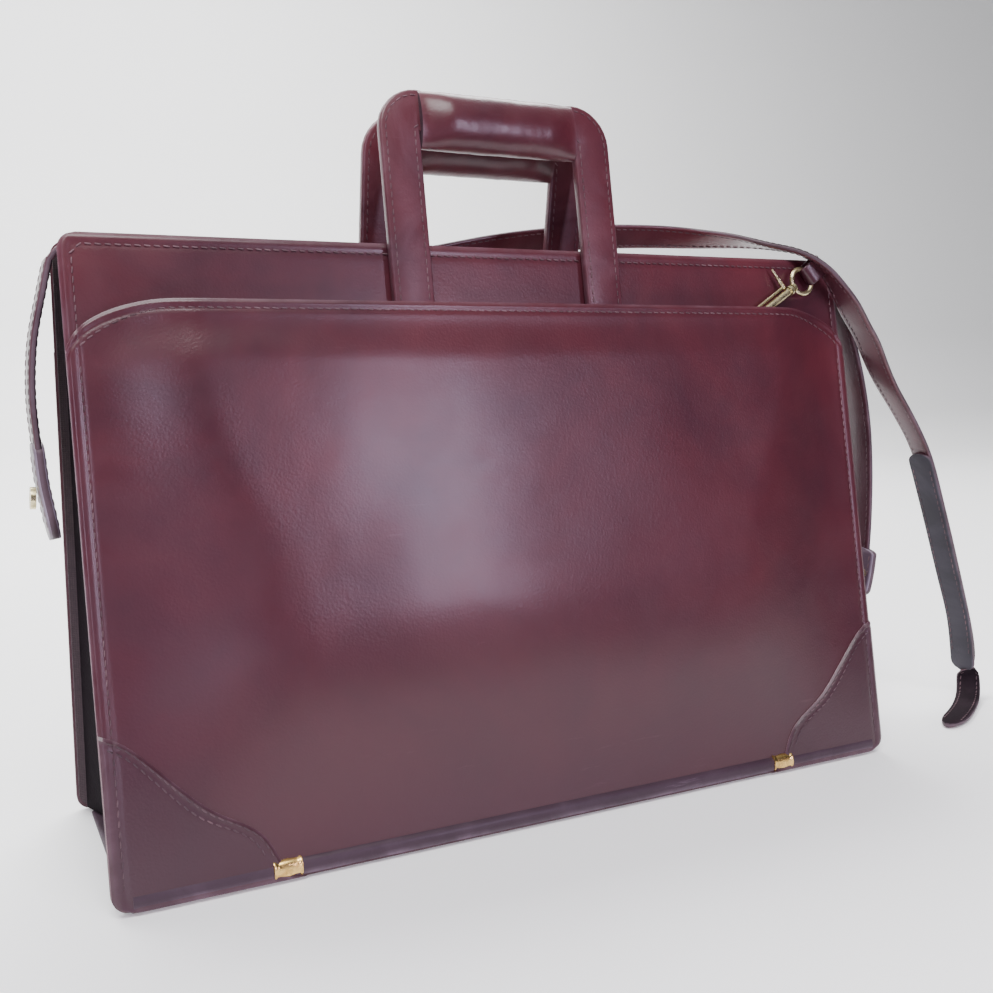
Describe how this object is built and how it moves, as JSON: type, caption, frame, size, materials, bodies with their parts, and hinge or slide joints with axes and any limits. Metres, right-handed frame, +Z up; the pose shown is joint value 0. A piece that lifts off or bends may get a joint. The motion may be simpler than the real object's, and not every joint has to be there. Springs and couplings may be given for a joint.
{
  "type": "leather briefcase",
  "caption": "Zip-top leather briefcase with opening front half, sliding carry handles, outer pockets, corner patches and clip-on shoulder strap.",
  "frame": {"origin": "on the floor, under the middle of the case, at the centre of the base panel's underside", "axes": "+X along the case to the right as seen from the front, +Y from the front face to the back face, +Z up"},
  "size_m": [0.5913, 0.1526, 0.3618],
  "materials": {
    "leather": "smooth waxed burgundy leather",
    "leather_dark": "darker burgundy trim leather",
    "leather_inner": "near-black inner leather",
    "pad_leather": "slate grey pad leather",
    "tab_leather": "worn mauve leather tab",
    "lining": "dark woven lining",
    "board": "pressed fibre board",
    "zip_tape": "woven zip tape",
    "brass": "aged polished brass",
    "pale_brass": "pale aged brass"
  },
  "bodies": {
    "case": {"base_panel": "leather_dark", "base_board": "board", "back_panel": "leather", "back_board": "board", "back_lining": "lining", "back_pocket": "leather", "back_corner_patches": "leather_dark", "back_binding": "leather_dark", "back_ferrules": "brass", "back_handle_guide": "leather_dark", "left_gusset": "leather_inner", "right_gusset": "leather_inner", "inner_pocket": "lining", "back_zip_tape": "zip_tape", "back_zip_teeth": "brass", "zip_end_stops": "brass", "back_anchor_staple": "pale_brass", "shoulder_strap_rear": "leather_dark", "rear_strap_keeper": "leather_dark", "rear_hook_eye": "pale_brass"},
    "front_half": {"front_panel": "leather", "front_board": "board", "front_lining": "lining", "front_pocket": "leather", "front_corner_patches": "leather_dark", "front_binding": "leather_dark", "front_ferrules": "brass", "front_handle_guide": "leather_dark", "front_zip_tape": "zip_tape", "front_zip_teeth": "brass", "front_anchor_staple": "pale_brass", "shoulder_strap_front": "leather_dark", "shoulder_strap_pad": "pad_leather", "front_strap_keeper": "leather_dark", "front_hook_eye": "pale_brass"},
    "front_handle": {"front_handle_strap": "leather", "front_grip": "leather", "front_handle_stop": "leather_dark"},
    "back_handle": {"back_handle_strap": "leather", "back_grip": "leather", "back_handle_stop": "leather_dark"},
    "zip_slider": {"zip_slider": "brass"},
    "zip_pull": {"zip_pull": "brass"},
    "left_tail": {"left_zip_tail": "leather_inner", "left_tail_tab": "leather_dark", "left_tail_snap": "brass"},
    "right_tail": {"right_zip_tail": "leather_inner", "right_tail_tab": "tab_leather", "right_tail_snaps": "brass"},
    "front_hook": {"front_hook_body": "pale_brass"},
    "front_gate": {"front_hook_gate": "pale_brass"},
    "rear_hook": {"rear_hook_body": "pale_brass"},
    "rear_gate": {"rear_hook_gate": "pale_brass"}
  },
  "joints": [
    {"name": "front_half_open", "type": "hinge", "parent": "case", "child": "front_half", "pos_m": [0, -0.0701, 0.0019], "axis": [1, 0, 0], "range_deg": [0, 15]},
    {"name": "front_handle_slide", "type": "slide", "parent": "front_half", "child": "front_handle", "axis": [0, -0.1667, -0.986], "range_m": [0, 0.042]},
    {"name": "back_handle_slide", "type": "slide", "parent": "case", "child": "back_handle", "axis": [0, 0.1667, -0.986], "range_m": [0, 0.035]},
    {"name": "zip_slide", "type": "slide", "parent": "case", "child": "zip_slider", "axis": [1, 0, 0], "range_m": [0, 0.324]},
    {"name": "zip_pull_flip", "type": "hinge", "parent": "zip_slider", "child": "zip_pull", "pos_m": [-0.1827, 0, 0.28463], "axis": [0, -1, 0], "range_deg": [0, 90]},
    {"name": "left_tail_swing", "type": "hinge", "parent": "case", "child": "left_tail", "pos_m": [-0.2184, 0, 0.276], "axis": [0, 1, 0], "range_deg": [-1.5, 70]},
    {"name": "right_tail_swing", "type": "hinge", "parent": "case", "child": "right_tail", "pos_m": [0.2184, 0, 0.274], "axis": [0, 1, 0], "range_deg": [0, 7]},
    {"name": "front_hook_swivel", "type": "hinge", "parent": "front_half", "child": "front_hook", "pos_m": [0.17928, -0.02465, 0.26924], "axis": [-0.857, -0.086, -0.508], "range_deg": [-3, 3]},
    {"name": "front_gate_press", "type": "hinge", "parent": "front_hook", "child": "front_gate", "pos_m": [0.15223, -0.02666, 0.25735], "axis": [0, -0.986, 0.167], "range_deg": [0, 16], "stiffness_Nm_per_rad": 0.02, "springref_deg": -11.46},
    {"name": "rear_hook_swivel", "type": "hinge", "parent": "case", "child": "rear_hook", "pos_m": [-0.17928, 0.02465, 0.26924], "axis": [0.857, 0.086, -0.508], "range_deg": [-3, 3]},
    {"name": "rear_gate_press", "type": "hinge", "parent": "rear_hook", "child": "rear_gate", "pos_m": [-0.15223, 0.02666, 0.25735], "axis": [0, 0.986, 0.167], "range_deg": [0, 16], "stiffness_Nm_per_rad": 0.02, "springref_deg": -11.46}
  ]
}
